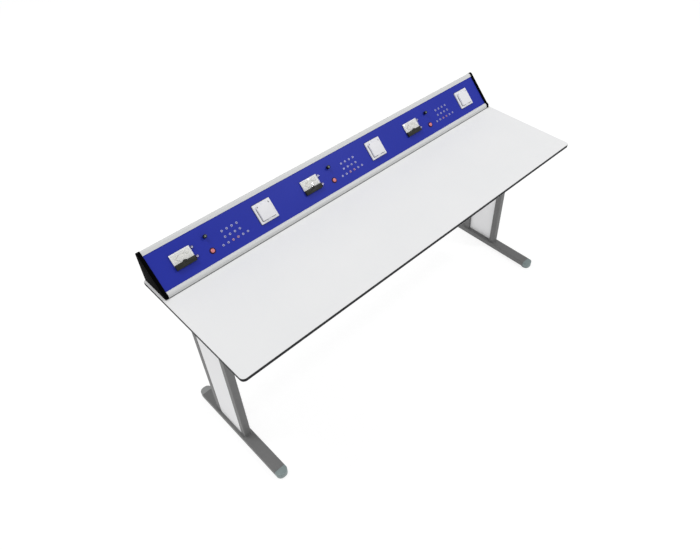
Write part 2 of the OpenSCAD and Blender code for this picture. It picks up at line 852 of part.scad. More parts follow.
// Insulating collar of a meter terminal
module terminal_collar() {
    difference() {
        cylinder(r = terminal_collar_r, h = terminal_collar_h, $fn = round_fn);
        translate([0, 0, -cut])
            cylinder(r = terminal_sleeve_r + bore_play, h = terminal_collar_h + 2 * cut, $fn = round_fn);
    }
}

module terminal_collars_black() {
    color("#1a1a1a") for (k = station_shares) at_station(k, terminal_x, terminal_gap / 2) terminal_collar();
}

module terminal_collars_red() {
    color("#7a2a20") for (k = station_shares) at_station(k, terminal_x, -terminal_gap / 2) terminal_collar();
}

// Plated sleeves that stand in the terminal collars
module terminal_sleeves() {
    color("#d8d8e0") for (k = station_shares, sy = [-1, 1])
        at_station(k, terminal_x, sy * terminal_gap / 2) difference() {
            translate([0, 0, -terminal_tail])
                cylinder(r = terminal_sleeve_r, h = terminal_tail + terminal_collar_h + terminal_sleeve_rim,
                    $fn = round_fn);
            translate([0, 0, -terminal_tail + terminal_collar_h])
                cylinder(r = socket_bore_r, h = terminal_tail + terminal_sleeve_rim + cut, $fn = round_fn);
        }
}

// Fluted knob on its shaft
module knob(share) {
    color("#1c1e1c") at_station(share, knob_x, knob_rise) {
        translate([0, 0, pot_bush_h + knob_gap]) difference() {
            cylinder(r = knob_d / 2, h = knob_h, $fn = round_fn);
            for (i = [0 : knob_grips - 1]) rotate([0, 0, i * 360 / knob_grips])
                translate([knob_d / 2 + knob_grip_r / 3, 0, -cut])
                    cylinder(r = knob_grip_r, h = knob_h - cut, $fn = 16);
            translate([-knob_mark_w / 2, 0, knob_h - knob_mark_t])
                cube([knob_mark_w, knob_d, knob_mark_t + cut]);
        }
        translate([0, 0, -panel_t - pot_body_l / 2])
            cylinder(r = knob_shaft_r, h = panel_t + pot_body_l / 2 + pot_bush_h + knob_gap + cut,
                $fn = round_fn);
    }
}

// Potentiometer behind the panel, with the bush that carries the knob's shaft
module potentiometers() {
    color("#8c8c88") for (k = station_shares) at_station(k, knob_x, knob_rise) difference() {
        union() {
            translate([0, 0, -panel_t - cut])
                cylinder(r = pot_bush_r, h = panel_t + pot_bush_h + cut, $fn = round_fn);
            translate([0, 0, -panel_t - pot_body_l]) cylinder(r = pot_body_r, h = pot_body_l, $fn = round_fn);
        }
        translate([0, 0, -panel_t - pot_body_l / 2 - play])
            cylinder(r = knob_shaft_r + bore_play, h = panel_t + pot_body_l + pot_bush_h + cut, $fn = round_fn);
    }
}

// Red push button cap on its stem
module button(share) {
    r = button_d / 2;
    color("#c8443c") at_station(share, button_x, -button_fall) {
        translate([0, 0, button_rise]) rotate_extrude($fn = round_fn) polygon([
            [0, -button_rise - button_skirt], [r, -button_rise - button_skirt],
            [r, -button_d / 15], [r - button_d / 15, 0], [0, 0]
        ]);
        translate([0, 0, -button_skirt - button_stem_l])
            cylinder(r = button_stem_r, h = button_stem_l + button_skirt, $fn = round_fn);
    }
}

// Push switch: bezel on the panel and the body behind it, bored for the button's travel
module button_switches() {
    r = button_d / 2 + play;
    color("#301416") for (k = station_shares) at_station(k, button_x, -button_fall) difference() {
        union() {
            rotate_extrude($fn = round_fn) polygon([[0, 0], [bezel_r, 0], [bezel_r, bezel_h / 2],
                [bezel_r - bezel_h / 2, bezel_h], [0, bezel_h]]);
            translate([0, 0, -switch_body_l])
                cylinder(r = r + rail_wall - slip, h = switch_body_l + cut, $fn = round_fn);
        }
        translate([0, 0, -button_skirt - button_travel - play])
            cylinder(r = r, h = button_skirt + button_travel + bezel_h + play + cut, $fn = round_fn);
        translate([0, 0, -button_skirt - button_stem_l - button_travel - play])
            cylinder(r = button_stem_r + play, h = button_stem_l + button_travel + play + cut, $fn = round_fn);
    }
}

// The socket field: the lowest row runs one socket further on each side
module socket_places(share) {
    for (row = [0 : socket_rows - 1]) {
        extra = row == 0 ? 1 : 0;
        for (column = [-extra : socket_columns - 1 + extra])
            at_station(share, (column - (socket_columns - 1) / 2) * socket_pitch,
                (row - (socket_rows - 1) / 2) * socket_row_pitch - socket_fall) children();
    }
}

function is_red(column, row) = row == 0 && (column == red_columns[0] - 1 || column == red_columns[1] - 1);

module socket_collar() {
    difference() {
        union() {
            rotate_extrude($fn = round_fn) polygon([
                [0, 0], [socket_collar_r, 0], [socket_collar_r, socket_collar_h / 2],
                [socket_collar_r - socket_collar_h / 2, socket_collar_h], [0, socket_collar_h]
            ]);
            translate([0, 0, -panel_t - cut])
                cylinder(r = socket_body_r, h = panel_t + 2 * cut, $fn = round_fn);
        }
        translate([0, 0, -panel_t - 2 * cut])
            cylinder(r = socket_sleeve_r + bore_play, h = panel_t + socket_collar_h + 3 * cut, $fn = round_fn);
    }
}

module socket_collar_set(red) {
    for (k = station_shares, row = [0 : socket_rows - 1]) {
        extra = row == 0 ? 1 : 0;
        for (column = [-extra : socket_columns - 1 + extra]) if (is_red(column, row) == red)
            at_station(k, (column - (socket_columns - 1) / 2) * socket_pitch,
                (row - (socket_rows - 1) / 2) * socket_row_pitch - socket_fall) socket_collar();
    }
}

module socket_collars() {
    color("#d6d6ea") socket_collar_set(false);
}

module socket_collars_red() {
    color("#d88c90") socket_collar_set(true);
}

// Plated contact sleeves of the sockets
module socket_sleeves() {
    color("#b8b8c0") for (k = station_shares) socket_places(k) difference() {
        translate([0, 0, -socket_tail])
            cylinder(r = socket_sleeve_r, h = socket_tail + socket_collar_h, $fn = round_fn);
        translate([0, 0, -socket_tail + socket_collar_h])
            cylinder(r = socket_bore_r, h = socket_tail + cut, $fn = round_fn);
    }
}

// Height of the lid's hinge axis above the panel and its distance from the outlet's middle
hinge_up = lid_l / 2 - hinge_end_r;
hinge_out = outlet_h + hinge_rise;

// Square frame of an outlet with the two lugs of its hinge
module outlet_frame(share) {
    color("#e6e6e8") at_station(share, outlet_x, 0) difference() {
        union() {
            eased_block(outlet_w, outlet_w, outlet_h, outlet_corner_r, outlet_ease);
            for (sx = [-1, 1]) translate([sx * hinge_lug_x, hinge_up, 0]) {
                translate([0, 0, hinge_out]) rotate([0, 90, 0])
                    cylinder(r = hinge_r, h = hinge_lug_w, center = true, $fn = round_fn);
                translate([-hinge_lug_w / 2, -hinge_r, outlet_h - cut])
                    cube([hinge_lug_w, 2 * hinge_r, hinge_rise + cut]);
            }
        }
        cube([insert_w + 2 * slip, insert_w + 2 * slip, 4 * outlet_h], center = true);
        translate([0, hinge_up, hinge_out]) rotate([0, 90, 0])
            cylinder(r = hinge_pin_r + bore_play, h = lid_w + 2 * cut, center = true, $fn = round_fn);
    }
}

// Lid over the insert: a shallow box with a round end that turns on its two pins
module outlet_lid(share) {
    z0 = outlet_h + play;
    h = lid_h - play;
    flat_l = lid_l - hinge_end_r;
    flat_y = -hinge_end_r / 2;
    notch_w = hinge_lug_w + 2 * play;
    pocket_l = flat_l - 2 * lid_wall - 2 * hinge_end_r;
    color("#eeeef2") at_station(share, outlet_x, 0) {
        difference() {
            union() {
                intersection() {
                    translate([0, flat_y + outlet_ease, z0])
                        eased_block(lid_w, flat_l + 2 * outlet_ease, h, lid_corner_r, outlet_ease);
                    translate([-lid_w / 2, flat_y - flat_l / 2, z0]) cube([lid_w, flat_l, h]);
                }
                translate([-lid_w / 2, hinge_up, hinge_out]) rotate([0, 90, 0]) {
                    translate([0, 0, outlet_ease])
                        cylinder(r = hinge_end_r, h = lid_w - 2 * outlet_ease, $fn = round_fn);
                    cylinder(r = hinge_end_r - outlet_ease, h = lid_w, $fn = round_fn);
                }
                translate([-lid_lip_w / 2, -lid_l / 2 - lid_lip_l, z0])
                    cube([lid_lip_w, lid_lip_l + lid_corner_r, lid_lip_h]);
            }
            translate([0, flat_y - hinge_end_r, z0 - cut]) linear_extrude(h - lid_wall + cut)
                round_rect(lid_w - 2 * lid_wall, pocket_l, lid_corner_r);
            for (sx = [-1, 1]) translate([sx * hinge_lug_x - notch_w / 2, hinge_up - hinge_r - play, z0 - cut])
                cube([notch_w, lid_l, h + 2 * cut]);
        }
        for (sx = [-1, 1]) translate([sx * hinge_lug_x, hinge_up, hinge_out]) rotate([0, 90, 0])
            cylinder(r = hinge_pin_r, h = notch_w + 2 * cut, center = true, $fn = round_fn);
    }
}

// Socket insert with its round recess and contact holes
module outlet_inserts() {
    z1 = outlet_h - insert_drop;
    color("#e2e2e2") for (k = station_shares) at_station(k, outlet_x, 0) difference() {
        translate([-insert_w / 2, -insert_w / 2, -insert_back]) cube([insert_w, insert_w, insert_back + z1]);
        translate([0, 0, z1 - recess_l]) cylinder(r = recess_r, h = recess_l + cut, $fn = round_fn);
        for (sx = [-1, 1]) translate([sx * pin_gap / 2, 0, z1 - recess_l - pin_hole_l])
            cylinder(r = pin_hole_r, h = pin_hole_l + cut, $fn = round_fn);
    }
}

worktop_core();
worktop_faces();
foot(-1);  // foot_left
foot(1);  // foot_right
foot_caps();
leveller(-1, -1);  // leveller_front_left
leveller(-1, 1);  // leveller_rear_left
leveller(1, -1);  // leveller_front_right
leveller(1, 1);  // leveller_rear_right
uprights(-1);  // uprights_left
uprights(1);  // uprights_right
side_panel(-1);  // side_panel_left
side_panel(1);  // side_panel_right
top_bracket(-1);  // top_bracket_left
top_bracket(1);  // top_bracket_right
stretcher(-front_upright_y);  // stretcher_front
stretcher(rear_upright_y);  // stretcher_rear
fixing_screws();
stretcher_bolts();
console_lower_rail();
console_upper_rail();
console_panel();
console_back();
console_floor();
end_cap(-1);  // end_cap_left
end_cap(1);  // end_cap_right
cable_grommet();
meter_case(station_shares[0]);  // meter_1_case
meter_case(station_shares[1]);  // meter_2_case
meter_case(station_shares[2]);  // meter_3_case
meter_pointer(station_shares[0]);  // meter_1_pointer
meter_pointer(station_shares[1]);  // meter_2_pointer
meter_pointer(station_shares[2]);  // meter_3_pointer
meter_windows();
meter_covers();
meter_dials();
zero_screw(station_shares[0]);  // zero_screw_1
zero_screw(station_shares[1]);  // zero_screw_2
zero_screw(station_shares[2]);  // zero_screw_3
terminal_collars_black();
terminal_collars_red();
terminal_sleeves();
knob(station_shares[0]);  // knob_1
knob(station_shares[1]);  // knob_2
knob(station_shares[2]);  // knob_3
potentiometers();
button(station_shares[0]);  // button_1
button(station_shares[1]);  // button_2
button(station_shares[2]);  // button_3
button_switches();
socket_collars();
socket_collars_red();
socket_sleeves();
outlet_frame(station_shares[0]);  // outlet_1_frame
outlet_frame(station_shares[1]);  // outlet_2_frame
outlet_frame(station_shares[2]);  // outlet_3_frame
outlet_lid(station_shares[0]);  // outlet_1_lid
outlet_lid(station_shares[1]);  // outlet_2_lid
outlet_lid(station_shares[2]);  // outlet_3_lid
outlet_inserts();
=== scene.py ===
import json
import math
import bmesh
import bpy
from mathutils import Matrix, Vector

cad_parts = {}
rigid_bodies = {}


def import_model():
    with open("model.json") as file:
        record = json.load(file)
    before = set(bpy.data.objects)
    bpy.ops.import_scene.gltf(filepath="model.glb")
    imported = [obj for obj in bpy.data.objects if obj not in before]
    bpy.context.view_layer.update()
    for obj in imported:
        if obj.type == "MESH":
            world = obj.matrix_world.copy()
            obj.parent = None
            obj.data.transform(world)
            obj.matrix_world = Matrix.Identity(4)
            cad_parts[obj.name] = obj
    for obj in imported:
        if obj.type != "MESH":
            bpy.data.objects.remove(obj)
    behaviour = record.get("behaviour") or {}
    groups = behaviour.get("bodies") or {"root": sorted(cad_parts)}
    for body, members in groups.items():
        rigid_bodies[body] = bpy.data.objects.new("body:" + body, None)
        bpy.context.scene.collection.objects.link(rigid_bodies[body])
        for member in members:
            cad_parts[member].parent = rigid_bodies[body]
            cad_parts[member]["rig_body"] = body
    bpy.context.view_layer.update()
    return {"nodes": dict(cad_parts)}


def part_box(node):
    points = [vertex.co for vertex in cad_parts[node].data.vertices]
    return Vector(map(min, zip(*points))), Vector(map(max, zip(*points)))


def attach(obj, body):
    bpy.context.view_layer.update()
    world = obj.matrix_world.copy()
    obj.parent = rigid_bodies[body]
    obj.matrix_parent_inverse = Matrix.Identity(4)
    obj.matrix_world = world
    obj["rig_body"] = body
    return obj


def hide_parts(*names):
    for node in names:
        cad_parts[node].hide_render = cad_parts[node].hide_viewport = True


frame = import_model()
nodes = frame["nodes"]
scene = bpy.context.scene
bpy.ops.object.select_all(action="DESELECT")

# Camera and daylight
# A pale studio: a soft lamp high up behind on the left, a harder one in front on the right, an
# even white surround and a pale floor that throws light back up and keeps a faint shadow.


def add_node(tree, kind, inputs=None, **settings):
    """Adds a node; inputs maps a socket to a value, a node or the output that feeds it."""
    node = tree.nodes.new("ShaderNode" + kind)
    for name, value in settings.items():
        setattr(node, name, value)
    for socket, value in (inputs or {}).items():
        if isinstance(value, bpy.types.Node):
            value = value.outputs[0]
        if isinstance(value, bpy.types.NodeSocket):
            tree.links.new(value, node.inputs[socket])
        else:
            node.inputs[socket].default_value = value
    return node


def mix_for_eyes(tree, unseen, seen):
    """One shader for the rays of the camera, mirrors and glass, and another for all others."""
    path = add_node(tree, "LightPath")
    mirror = add_node(
        tree, "Math", {0: path.outputs["Is Glossy Ray"], 1: path.outputs["Is Transmission Ray"]},
        operation="MAXIMUM")
    eye = add_node(
        tree, "Math", {0: path.outputs["Is Camera Ray"], 1: mirror}, operation="MAXIMUM")
    return add_node(tree, "MixShader", {0: eye, 1: unseen, 2: seen})


bpy.ops.object.camera_add(
    location=(-1.35207, -1.34006, 2.31869), rotation=(math.radians(45), 0, math.radians(-45)))
camera = bpy.context.object
camera.data.sensor_width = 36
camera.data.lens = 31.37
camera.data.shift_x = -0.0433
camera.data.shift_y = -0.0161
camera.data.clip_end = 100
scene.camera = camera
scene.view_settings.view_transform = "Standard"

middle = Vector((0, 0, 0.6))
for name, spot, size, watts in (
        ("overhead lamp", (-2.1, 1.6, 6.2), 1.6, 95), ("right lamp", (2.6, -2.4, 5.2), 0.5, 75)):
    bpy.ops.object.light_add(type="AREA", location=spot)
    lamp = bpy.context.object
    lamp.name = name
    lamp.data.shape = "DISK"
    lamp.data.size = size
    lamp.data.energy = watts
    lamp.rotation_euler = (middle - lamp.location).to_track_quat("-Z", "Y").to_euler()

white = (1, 1, 1, 1)
scene.world = bpy.data.worlds.new("white surround")
scene.world.use_nodes = True
tree = scene.world.node_tree
tree.nodes.clear()
daylight = add_node(tree, "Background", {"Color": white, "Strength": 0.56})
backdrop = add_node(tree, "Background", {"Color": white, "Strength": 1.0})
add_node(tree, "OutputWorld", {"Surface": mix_for_eyes(tree, daylight, backdrop)})

bpy.ops.mesh.primitive_plane_add(size=60, location=(0, 0, 0))
floor = bpy.context.object
floor.name = "studio_floor"
floor_paint = bpy.data.materials.new("pale studio floor")
floor_paint.use_nodes = True
tree = floor_paint.node_tree
tree.nodes.clear()
layers = []
for grey, glow in ((0.45, 0.55), (0.26, 0.82)):
    matt = add_node(tree, "BsdfDiffuse", {"Color": (grey, grey, grey, 1)})
    lift = add_node(tree, "Emission", {"Color": white, "Strength": glow})
    layers.append(add_node(tree, "AddShader", {0: matt, 1: lift}))
add_node(tree, "OutputMaterial", {"Surface": mix_for_eyes(tree, *layers)})
floor.data.materials.append(floor_paint)
bpy.ops.object.select_all(action="DESELECT")

# Worktop
# Compact laminate, 15 mm thick: a black core of resin-soaked paper, pressed and sawn, with a
# white decor sheet on each side. Screws hold it to the top brackets from below.


def linear(hex_colour):
    """An sRGB hex colour as linear red, green, blue and alpha."""
    channels = [int(hex_colour[i:i + 2], 16) / 255 for i in (1, 3, 5)]
    return [c / 12.92 if c <= 0.04045 else ((c + 0.055) / 1.055) ** 2.4 for c in channels] + [1]


def start_finish(name):
    """Starts a material: gives it, its empty tree and its object coordinates."""
    material = bpy.data.materials.new(name)
    material.use_nodes = True
    tree = material.node_tree
    tree.nodes.clear()
    return material, tree, add_node(tree, "TexCoord").outputs["Object"]


def close_finish(tree, colour, roughness, metallic=0.0, gloss=0.5, bump=None):
    """Ends a material with its shader, from values or from the nodes that vary them."""
    surface = {"Base Color": colour, "Roughness": roughness, "Metallic": metallic,
               "Specular IOR Level": gloss}
    if bump:
        surface["Normal"] = bump
    shader = add_node(tree, "BsdfPrincipled", surface)
    add_node(tree, "OutputMaterial", {"Surface": shader})
    return shader


def dress(material, *names):
    """Gives CAD nodes a material in all their slots."""
    for name in names:
        node = nodes[name]
        if not node.material_slots:
            node.data.materials.append(material)
        for slot in node.material_slots:
            slot.material = material


# Melamine decor: matt and even. A noise's scale is its number of grains in a metre: the press
# plate's grain of 0.4 mm is too fine to show and is drawn at 1.2 mm, over clouds of 250 mm
laminate, tree, place = start_finish("white melamine laminate")
grain = add_node(tree, "TexNoise", {"Vector": place, "Scale": 850, "Detail": 3})
cloud = add_node(tree, "TexNoise", {"Vector": place, "Scale": 4, "Detail": 2})
tone = add_node(tree, "MixRGB", {0: cloud, 1: linear("#E8E9EA"), 2: linear("#EEEEEE")})
sheen = add_node(tree, "MapRange", {"Value": grain, "To Min": 0.36, "To Max": 0.52})
bump = add_node(tree, "Bump", {"Height": grain, "Strength": 0.12, "Distance": 0.0002})
close_finish(tree, tone, sheen, bump=bump)
dress(laminate, "worktop_faces")

# Phenolic core: near black, sawn and eased. Its paper layers of 0.2 mm are drawn at 0.9 mm
core, tree, place = start_finish("black phenolic core")
layer = add_node(tree, "TexWave", {"Vector": place, "Scale": 350, "Distortion": 1.5, "Detail": 1},
                 bands_direction="Z")
speck = add_node(tree, "TexNoise", {"Vector": place, "Scale": 420, "Detail": 4})
mixed = add_node(tree, "MixRGB", {0: 0.5, 1: layer, 2: speck})
tone = add_node(tree, "MixRGB", {0: mixed, 1: linear("#161719"), 2: linear("#26272A")})
bump = add_node(tree, "Bump", {"Height": mixed, "Strength": 0.25, "Distance": 0.0003})
close_finish(tree, tone, 0.55, gloss=0.12, bump=bump)
dress(core, "worktop_core")

# Leg frames
# Welded steel: a flat foot tube, two square uprights and a channel under the top, with two
# stretchers bolted between the frames. All of it is powder coated grey.

# Powder coat: satin, melted to an orange peel of 2 mm, in clouds of 110 mm
coat, tree, place = start_finish("grey powder coated steel")
peel = add_node(tree, "TexNoise", {
    "Vector": place, "Scale": 520, "Detail": 2, "Roughness": 0.55})
cloud = add_node(tree, "TexNoise", {"Vector": place, "Scale": 9, "Detail": 3})
tone = add_node(tree, "MixRGB", {0: cloud, 1: linear("#676767"), 2: linear("#727272")})
sheen = add_node(tree, "MapRange", {"Value": peel, "To Min": 0.42, "To Max": 0.6})
bump = add_node(tree, "Bump", {"Height": peel, "Strength": 0.35, "Distance": 0.0004})
close_finish(tree, tone, sheen, gloss=0.4, bump=bump)
dress(coat, "foot_left", "foot_right", "uprights_left", "uprights_right", "top_bracket_left",
      "top_bracket_right", "stretcher_front", "stretcher_rear")

# Weld beads
# A rippled fillet of weld metal runs round each upright where it stands on the foot, and lies
# under the same coat.


def modify(piece, kind, **settings):
    """Adds a modifier with its settings to a piece and applies it."""
    bpy.context.view_layer.objects.active = piece
    change = piece.modifiers.new(kind.lower(), kind)
    for name, value in settings.items():
        setattr(change, name, value)
    bpy.ops.object.modifier_apply(modifier=change.name)


bead_ripple = bpy.data.textures.new("bead ripple", "CLOUDS")
bead_ripple.noise_scale = 0.0035
leg_x = 0.83
for side, x in (("left", -leg_x), ("right", leg_x)):
    for end, y in (("front", -0.033), ("rear", 0.14)):
        bpy.ops.mesh.primitive_plane_add(size=0.0306)
        bead = bpy.context.object
        bead.name = "weld_%s_%s" % (end, side)
        bpy.ops.object.mode_set(mode="EDIT")
        bpy.ops.mesh.select_all(action="SELECT")
        bpy.ops.mesh.bevel(offset=0.003, segments=4, affect="VERTICES")
        bpy.ops.mesh.delete(type="ONLY_FACE")
        bpy.ops.mesh.select_all(action="SELECT")
        bpy.ops.mesh.subdivide(number_cuts=12)
        bpy.ops.object.mode_set(mode="OBJECT")
        bpy.ops.object.convert(target="CURVE")
        bead.data.bevel_depth = 0.0019
        bead.data.bevel_resolution = 3
        bpy.ops.object.convert(target="MESH")
        bead.location = (x, y, 0.0333)
        bpy.ops.object.transform_apply(location=True)
        modify(bead, "DISPLACE", texture=bead_ripple, texture_coords="LOCAL", strength=0.0014)
        bpy.ops.object.shade_smooth()
        bead.data.materials.append(coat)
        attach(bead, "table")

# Foot end caps
# Moulded polypropylene plugs in a paler blue-grey than the coat, pushed into the tube ends. The
# mould leaves a soft edge all round.


def softened(node, width, segments=3):
    """A copy of a CAD node with its sharp edges rounded, to show in its place."""
    source = nodes[node]
    piece = source.copy()
    piece.data = source.data.copy()
    piece.parent = None
    for key in list(piece.keys()):
        if key.startswith("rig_"):
            del piece[key]
    piece.name = node + "_moulding"
    scene.collection.objects.link(piece)
    bpy.ops.object.select_all(action="DESELECT")
    piece.select_set(True)
    bpy.context.view_layer.objects.active = piece
    bpy.ops.object.mode_set(mode="EDIT")
    bpy.ops.mesh.select_all(action="SELECT")
    bpy.ops.mesh.remove_doubles(threshold=0.00001)
    bpy.ops.mesh.dissolve_limited(angle_limit=math.radians(1))
    bpy.ops.object.mode_set(mode="OBJECT")
    modify(piece, "BEVEL", width=width, segments=segments, limit_method="ANGLE",
           angle_limit=math.radians(30), use_clamp_overlap=True)
    bpy.ops.object.shade_smooth_by_angle(angle=math.radians(35))
    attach(piece, source["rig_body"])
    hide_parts(node)
    bpy.ops.object.select_all(action="DESELECT")
    return piece


def wear(piece, material):
    """Gives a new piece its material, in a single slot."""
    piece.data.materials.clear()
    piece.data.materials.append(material)


# Polypropylene: satin. Its spark-eroded texture of 0.3 mm is drawn at 1.1 mm. The front plugs are
# blue-grey and the rear ones, at positive Y, a plain grey
polypropylene, tree, place = start_finish("blue-grey moulded polypropylene")
spark = add_node(tree, "TexNoise", {"Vector": place, "Scale": 900, "Detail": 2})
front = add_node(tree, "MixRGB", {0: spark, 1: linear("#788585"), 2: linear("#829090")})
depth = add_node(tree, "SeparateXYZ", {"Vector": place}).outputs["Y"]
rear = add_node(tree, "Math", {0: depth, 1: 0.0}, operation="GREATER_THAN")
tone = add_node(tree, "MixRGB", {0: rear, 1: front, 2: linear("#8F9090")})
bump = add_node(tree, "Bump", {"Height": spark, "Strength": 0.2, "Distance": 0.0002})
close_finish(tree, tone, 0.42, bump=bump)
wear(softened("foot_caps", 0.0012), polypropylene)

# Levelling feet
# Black nylon pads moulded on zinc plated studs that screw up into the end caps, so that each one
# can be turned down to the floor.

# Nylon: satin black with flow marks of 3 mm, up to the stud, which starts at 5.2 mm
nylon, tree, place = start_finish("black nylon on a zinc stud")
mottle = add_node(tree, "TexNoise", {"Vector": place, "Scale": 300, "Detail": 3})
height = add_node(tree, "SeparateXYZ", {"Vector": place}).outputs["Z"]
stud = add_node(tree, "Math", {0: height, 1: 0.0052}, operation="GREATER_THAN")
pad = add_node(tree, "MixRGB", {0: mottle, 1: linear("#1A1B1C"), 2: linear("#29292B")})
tone = add_node(tree, "MixRGB", {0: stud, 1: pad, 2: linear("#B0B1B2")})
bump = add_node(tree, "Bump", {"Height": mottle, "Strength": 0.15, "Distance": 0.0003})
close_finish(tree, tone, 0.5, metallic=stud, gloss=0.3, bump=bump)
dress(nylon, "leveller_front_left", "leveller_rear_left", "leveller_front_right",
      "leveller_rear_right")

# Side panels
# White melamine faced chipboard, sawn and edged all round. One board fills each leg frame between
# its two uprights.


def mottled(name, dark, light, scale, detail, roughness, metallic=0.0, gloss=0.5, relief=None):
    """A finish of two tones in grains; relief is the strength and the depth of its bump."""
    material, tree, place = start_finish(name)
    grain = add_node(tree, "TexNoise", {"Vector": place, "Scale": scale, "Detail": detail})
    tone = add_node(tree, "MixRGB", {0: grain, 1: linear(dark), 2: linear(light)})
    bump = relief and add_node(
        tree, "Bump", {"Height": grain, "Strength": relief[0], "Distance": relief[1]})
    close_finish(tree, tone, roughness, metallic, gloss, bump)
    return material


# Melamine board: flat white. Its press grain of 0.4 mm is drawn at 1.4 mm
melamine = mottled("white melamine board", "#F1F1F2", "#F8F8F9", 700, 3, 0.45,
                   relief=(0.1, 0.0002))
dress(melamine, "side_panel_left", "side_panel_right")

# Screws and bolts
# Rolled steel screws with pan heads and a cross recess under the top brackets and in the rear
# cover, and hexagon bolts with chamfered heads in the stretchers.


def pick_top(piece):
    """In edit mode, selects only the faces that look straight up."""
    bpy.ops.mesh.select_all(action="DESELECT")
    mesh = bmesh.from_edit_mesh(piece.data)
    for face in mesh.faces:
        face.select = face.normal.z > 0.9
    bmesh.update_edit_mesh(piece.data)


# Zinc plating: bright metal that has dulled in stains of 4 mm
zinc = mottled("zinc plated steel", "#A9AAAB", "#C9CACB", 260, 4, 0.34, metallic=1.0)
screws = softened("fixing_screws", 0.0008)
wear(screws, zinc)
wear(softened("stretcher_bolts", 0.0005, 2), zinc)
quarter = math.radians(90)
bracket_screws = (-0.20768, -0.10384, 0.17653, 0.22845)
cover_screws = (-0.82438, -0.41219, 0, 0.41219, 0.82438)
recesses = [((x, y, 0.7352), (0, 0, turn))
            for x in (-leg_x, leg_x) for y in bracket_screws for turn in (0, quarter)]
recesses += [((x, 0.2944, 0.7645), (quarter, turn, 0))
             for x in cover_screws for turn in (0, quarter)]
for spot, turn in recesses:
    bpy.ops.mesh.primitive_cube_add(size=1)
    blade = bpy.context.object
    bpy.ops.object.mode_set(mode="EDIT")
    bpy.ops.transform.resize(value=(0.0044, 0.0009, 0.0032))
    pick_top(blade)
    bpy.ops.transform.resize(value=(0.45, 0.7, 1))
    bpy.ops.object.mode_set(mode="OBJECT")
    blade.rotation_euler = turn
    blade.location = spot
    modify(screws, "BOOLEAN", object=blade, solver="EXACT")
    bpy.data.objects.remove(blade)

# Console rails
# Extruded aluminium, cut to length. The lower rail stands on the worktop with a rounded nose, the
# upper one laps over the rear cover, and the panel's long edges slip into both.

# Anodised aluminium: satin, pale grey, with fine die lines along the whole length. The lines are
# about 0.3 mm apart and are drawn at 1.1 mm
anodised, tree, place = start_finish("satin anodised aluminium")
along = add_node(tree, "Mapping", {"Vector": place, "Scale": (0.6, 900, 900)})
lines = add_node(tree, "TexNoise", {"Vector": along, "Scale": 1, "Detail": 3})
tone = add_node(tree, "MixRGB", {0: lines, 1: linear("#CDCECE"), 2: linear("#D9DADA")})
sheen = add_node(tree, "MapRange", {"Value": lines, "To Min": 0.46, "To Max": 0.6})
bump = add_node(tree, "Bump", {"Height": lines, "Strength": 0.12, "Distance": 0.0001})
close_finish(tree, tone, sheen, metallic=0.1, gloss=0.15, bump=bump)
dress(anodised, "console_lower_rail", "console_upper_rail")

# Rail shadow line
# A thin grey bead in the angle between the lower rail and the worktop is painted shade, standing
# in for the rail's contact shadow. Its tone varies in smears of 7 mm.
rail_shadow_grey = mottled("grey painted rail shadow", "#505050", "#626262", 140, 2, 0.5, gloss=0.2)
low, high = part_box("console_lower_rail")
bpy.ops.mesh.primitive_cylinder_add(
    vertices=12, radius=0.0016, depth=high[0] - low[0] - 0.001,
    location=((low[0] + high[0]) / 2, low[1] - 0.0002, 0.7554), rotation=(0, quarter, 0))
bead = bpy.context.object
bead.name = "rail_shadow_bead"
bpy.ops.object.transform_apply(location=True, rotation=True)
modify(bead, "BEVEL", width=0.0005, segments=2, limit_method="ANGLE",
       angle_limit=math.radians(60))
bpy.ops.object.shade_smooth_by_angle(angle=math.radians(40))
bead.data.materials.append(rail_shadow_grey)
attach(bead, "table")

# Instrument panel
# Steel sheet with an opening for every instrument, stoved in blue enamel and held by its long
# edges in the two rails.

# Enamel: deep blue with a low sheen, a ripple of 4 mm and clouds of 170 mm
enamel, tree, place = start_finish("blue stoved enamel")
ripple = add_node(tree, "TexNoise", {"Vector": place, "Scale": 240, "Detail": 2})
cloud = add_node(tree, "TexNoise", {"Vector": place, "Scale": 6, "Detail": 2})
tone = add_node(tree, "MixRGB", {0: cloud, 1: linear("#1F2C9B"), 2: linear("#2532A4")})
bump = add_node(tree, "Bump", {"Height": ripple, "Strength": 0.12, "Distance": 0.0002})
close_finish(tree, tone, 0.42, gloss=0.15, bump=bump)
dress(enamel, "console_panel")

# Rear cover and floor tray
# Folded steel sheet: a tray screwed to the worktop, and a cover whose top edge slips in front of
# the upper rail's lip. The light grey powder coat is satin, with an orange peel of 2 mm.
sheet_coat = mottled("light grey powder coated sheet", "#BEBFBF", "#C9CACA", 520, 2, 0.5,
                     relief=(0.3, 0.0004))
dress(sheet_coat, "console_back", "console_floor")

# End caps
# Injection moulded ABS cheeks, each a hollow shell with a plug that slips inside the rails. They
# stand a little proud of both rails, with a soft edge from the mould.

# Black ABS: matt, with a leather grain whose cells of 0.8 mm are drawn at 1.6 mm
abs_black, tree, place = start_finish("black moulded ABS")
hide = add_node(tree, "TexVoronoi", {"Vector": place, "Scale": 620}, feature="SMOOTH_F1")
tone = add_node(tree, "MixRGB", {0: hide, 1: linear("#030303"), 2: linear("#080808")})
bump = add_node(tree, "Bump", {"Height": hide, "Strength": 0.2, "Distance": 0.0003})
close_finish(tree, tone, 0.65, gloss=0.01, bump=bump)
for side in ("left", "right"):
    wear(softened("end_cap_" + side, 0.0009), abs_black)

# Cable grommet
# A ring of soft black rubber, moulded in one piece and snapped into the rear cover. It is dull
# with dust in specks of 3 mm.
# The same black also serves as painted shade round the outlets.
rubber_and_painted_shade = mottled("black rubber and painted outlet shade", "#171717", "#242424", 350, 3, 0.7)
dress(rubber_and_painted_shade, "cable_grommet")

# Meters
# Each is a black phenolic case set in the panel, with a front cover and its boss, a zero screw, a
# clear acrylic window, a card dial and a needle of thin sheet.

